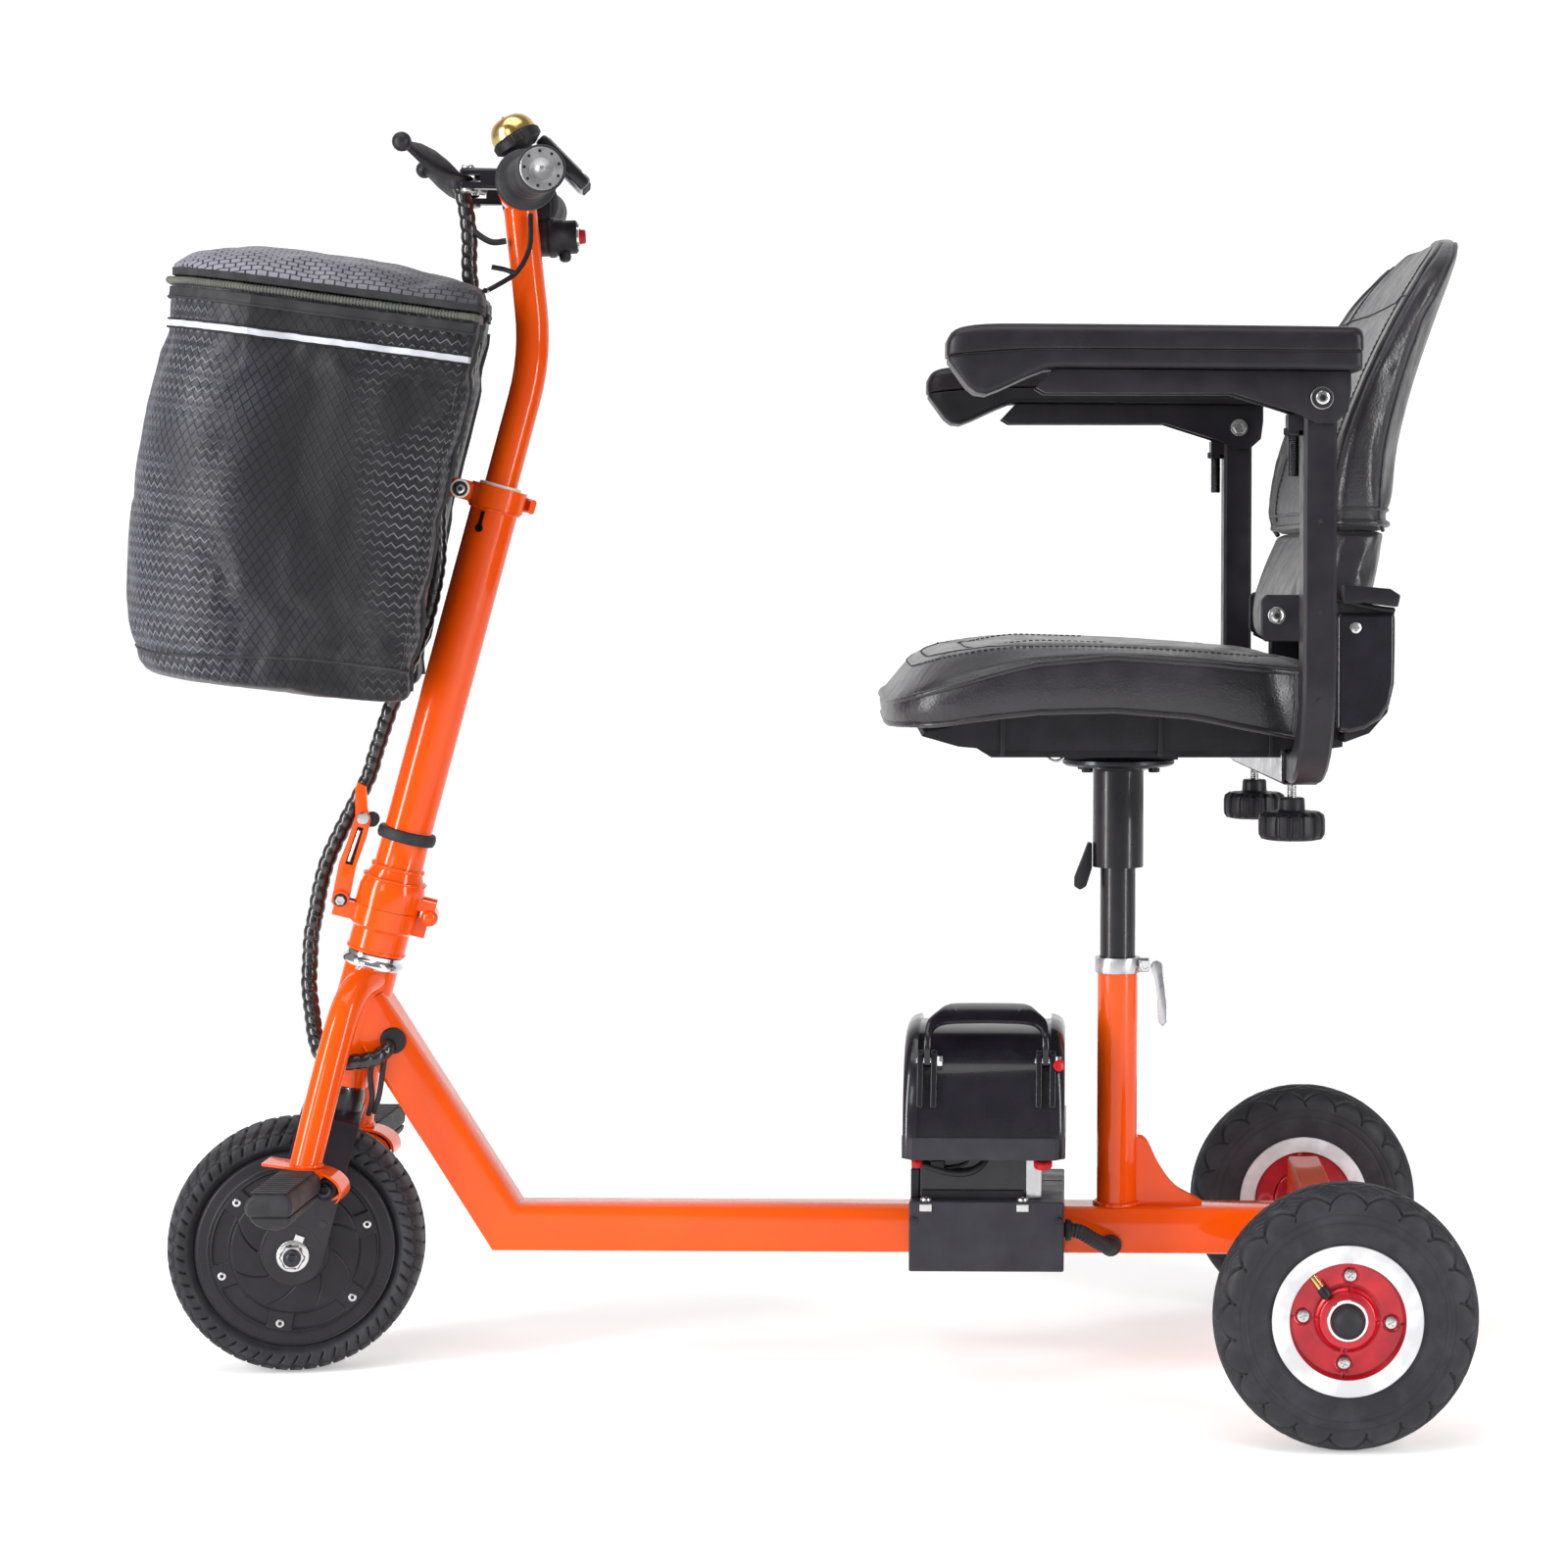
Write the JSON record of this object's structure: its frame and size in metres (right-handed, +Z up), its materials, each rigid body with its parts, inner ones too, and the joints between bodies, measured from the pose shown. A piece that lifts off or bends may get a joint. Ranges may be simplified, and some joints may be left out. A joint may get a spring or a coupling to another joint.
{
  "type": "mobility scooter",
  "caption": "Compact folding mobility scooter with a padded swivel seat, flip-up armrests, a front bag, tiller handlebar and a lift-out battery.",
  "frame": {"origin": "centre of the footprint on the floor the tyres stand on", "axes": "+X to the rear of the scooter, +Y to the rider's right-hand side, +Z up"},
  "size_m": [1.0759, 0.5764, 1.0237],
  "materials": {
    "bag_cloth": "woven",
    "black_plastic": "satin",
    "black_steel": "satin",
    "black_vinyl": "grained",
    "brass": "polished",
    "case_black": "gloss",
    "chrome": "polished",
    "orange_paint": "gloss",
    "red_enamel": "gloss",
    "rubber": "matte"
  },
  "bodies": {
    "frame": {"main_frame": "orange_paint", "headset_ring": "chrome", "controller_box": "case_black", "seat_collar": "chrome", "rear_conduit": "rubber", "footrest_left": "orange_paint", "footrest_right": "orange_paint", "foot_peg_left": "rubber", "foot_peg_right": "rubber", "rear_axle_left": "chrome", "rear_axle_right": "chrome"},
    "rear_wheel_left": {"rear_hub_left": "red_enamel", "rear_tyre_left": "rubber"},
    "rear_wheel_right": {"rear_hub_right": "red_enamel", "rear_tyre_right": "rubber"},
    "battery": {"battery_case": "case_black"},
    "battery_grip": {"battery_handle": "black_plastic"},
    "seat_clamp": {"seat_lever": "chrome"},
    "steering": {"fork": "black_steel", "steerer_head": "orange_paint", "conduit_lower": "rubber"},
    "front_wheel": {"front_hub": "black_plastic", "front_tyre": "rubber"},
    "latch": {"fold_latch": "orange_paint"},
    "column": {"column_tube": "orange_paint", "stop_ring": "rubber", "conduit_front": "rubber"},
    "clamp": {"clamp_lever": "orange_paint"},
    "stem_head": {"stem": "orange_paint", "handlebar": "black_steel", "grip_left": "rubber", "bell_base": "black_plastic", "bell_dome": "brass", "display": "black_plastic", "switch_pod": "black_plastic", "bag_hanger": "black_steel", "bag_body": "bag_cloth", "conduit_upper": "rubber"},
    "throttle": {"throttle_grip": "rubber"},
    "brake_left": {"brake_lever_left": "black_steel"},
    "brake_right": {"brake_lever_right": "black_steel"},
    "bell_thumb": {"bell_striker": "black_plastic"},
    "power": {"power_button": "red_enamel"},
    "lid": {"bag_lid": "bag_cloth"},
    "seat_pillar": {"seat_post": "black_steel"},
    "swivel_paddle": {"swivel_lever": "black_plastic"},
    "seat": {"seat_pan": "black_plastic", "seat_cushion": "black_vinyl"},
    "backrest": {"back_shell": "black_plastic", "back_cushion": "black_vinyl"},
    "recline": {"recline_paddle": "black_plastic"},
    "arm_support_left": {"arm_post_left": "black_steel"},
    "arm_support_right": {"arm_post_right": "black_steel"},
    "arm_left": {"arm_bar_left": "black_steel", "arm_pad_left": "black_plastic"},
    "arm_right": {"arm_bar_right": "black_steel", "arm_pad_right": "black_plastic"},
    "knob_left": {"arm_knob_left": "black_plastic"},
    "knob_right": {"arm_knob_right": "black_plastic"}
  },
  "joints": [
    {"name": "steering", "type": "hinge", "parent": "frame", "child": "steering", "pos_m": [-0.402, 0, 0.1035], "axis": [0.2554, 0, 0.9668], "range_deg": [-49, 31], "deforming": ["conduit_lower"]},
    {"name": "front_wheel", "type": "hinge", "parent": "steering", "child": "front_wheel", "pos_m": [-0.402, 0, 0.1035], "axis": [0.1512, -0.9877, -0.04], "continuous": true},
    {"name": "rear_wheel_left", "type": "hinge", "parent": "frame", "child": "rear_wheel_left", "pos_m": [0.44, -0.235, 0.1], "axis": [0, -1, 0], "continuous": true},
    {"name": "rear_wheel_right", "type": "hinge", "parent": "frame", "child": "rear_wheel_right", "pos_m": [0.44, 0.235, 0.1], "axis": [0, -1, 0], "continuous": true},
    {"name": "fold_latch", "type": "hinge", "parent": "steering", "child": "latch", "pos_m": [-0.366, -0.00594, 0.3867], "axis": [0.1512, -0.9877, -0.04], "range_deg": [0, 70]},
    {"name": "stem_fold", "type": "hinge", "parent": "steering", "child": "column", "pos_m": [-0.29552, 0.00547, 0.37118], "axis": [-0.1512, 0.9877, 0.04], "range_deg": [0, 25], "deforming": ["conduit_lower", "conduit_front"]},
    {"name": "height_clamp", "type": "hinge", "parent": "column", "child": "clamp", "pos_m": [-0.27217, 0.00997, 0.72392], "axis": [0.2554, 0, 0.9668], "range_deg": [0, 45]},
    {"name": "stem_height", "type": "slide", "parent": "column", "child": "stem_head", "axis": [0.2554, 0, 0.9668], "range_m": [-0.04, 0.06], "deforming": ["conduit_upper", "conduit_front"]},
    {"name": "throttle", "type": "hinge", "parent": "stem_head", "child": "throttle", "pos_m": [-0.2384, 0.2298, 0.97595], "axis": [-0.0352, 0.9986, 0.04], "range_deg": [0, 60], "stiffness_Nm_per_rad": 0.8},
    {"name": "brake_left", "type": "hinge", "parent": "stem_head", "child": "brake_left", "pos_m": [-0.24364, -0.10428, 0.96561], "axis": [0.003, -0.04, 0.9992], "range_deg": [0, 18], "stiffness_Nm_per_rad": 4},
    {"name": "brake_right", "type": "hinge", "parent": "stem_head", "child": "brake_right", "pos_m": [-0.27162, 0.07844, 0.973], "axis": [0.003, -0.04, 0.9992], "range_deg": [-18, 0], "stiffness_Nm_per_rad": 4},
    {"name": "bell_striker", "type": "hinge", "parent": "stem_head", "child": "bell_thumb", "pos_m": [-0.19457, -0.05771, 1.01371], "axis": [-0.5133, -0.113, 0.8508], "range_deg": [0, 40], "stiffness_Nm_per_rad": 0.05},
    {"name": "power_button", "type": "slide", "parent": "stem_head", "child": "power", "axis": [-0.9874, -0.1491, -0.0529], "range_m": [0, 0.0025], "stiffness_N_per_m": 500},
    {"name": "bag_lid", "type": "hinge", "parent": "stem_head", "child": "lid", "pos_m": [-0.2475, -0.00786, 0.88245], "axis": [-0.1512, 0.9877, 0.04], "range_deg": [0, 40]},
    {"name": "seat_lever", "type": "hinge", "parent": "frame", "child": "seat_clamp", "pos_m": [0.3035, 0, 0.333], "axis": [0, -1, 0], "range_deg": [0, 110]},
    {"name": "seat_height", "type": "slide", "parent": "frame", "child": "seat_pillar", "axis": [0, 0, 1], "range_m": [-0.07, 0.06]},
    {"name": "seat_swivel", "type": "hinge", "parent": "seat_pillar", "child": "seat", "pos_m": [0.271, 0, 0.504], "axis": [0, 0, 1], "continuous": true},
    {"name": "swivel_lever", "type": "hinge", "parent": "seat_pillar", "child": "swivel_paddle", "pos_m": [0.247, 0, 0.433], "axis": [0, 1, 0], "range_deg": [0, 20], "stiffness_Nm_per_rad": 2},
    {"name": "back_fold", "type": "hinge", "parent": "seat", "child": "backrest", "pos_m": [0.4201, 0.01095, 0.617], "axis": [0.0732, -0.9973, 0], "range_deg": [0, 70]},
    {"name": "recline_paddle", "type": "hinge", "parent": "backrest", "child": "recline", "pos_m": [0.44052, -0.1921, 0.64], "axis": [0.0732, -0.9973, 0], "range_deg": [0, 20], "stiffness_Nm_per_rad": 1},
    {"name": "arm_width_left", "type": "slide", "parent": "seat", "child": "arm_support_left", "axis": [0.0732, -0.9973, 0], "range_m": [0, 0.04]},
    {"name": "arm_width_right", "type": "slide", "parent": "seat", "child": "arm_support_right", "axis": [-0.0732, 0.9973, 0], "range_m": [0, 0.04]},
    {"name": "arm_flip_left", "type": "hinge", "parent": "arm_support_left", "child": "arm_left", "pos_m": [0.41647, -0.23999, 0.787], "axis": [-0.0732, 0.9973, 0], "range_deg": [0, 95]},
    {"name": "arm_flip_right", "type": "hinge", "parent": "arm_support_right", "child": "arm_right", "pos_m": [0.37985, 0.25867, 0.787], "axis": [-0.0732, 0.9973, 0], "range_deg": [0, 95]},
    {"name": "arm_knob_left", "type": "hinge", "parent": "seat", "child": "knob_left", "pos_m": [0.40658, -0.10535, 0.457], "axis": [0, 0, 1], "continuous": true},
    {"name": "arm_knob_right", "type": "hinge", "parent": "seat", "child": "knob_right", "pos_m": [0.38973, 0.12403, 0.457], "axis": [0, 0, 1], "continuous": true},
    {"name": "battery_lift", "type": "slide", "parent": "frame", "child": "battery", "axis": [0, 0, 1], "range_m": [0, 0.12]},
    {"name": "battery_handle", "type": "hinge", "parent": "battery", "child": "battery_grip", "pos_m": [0.163, -0.07, 0.265], "axis": [1, 0, 0], "range_deg": [0, 110]}
  ]
}
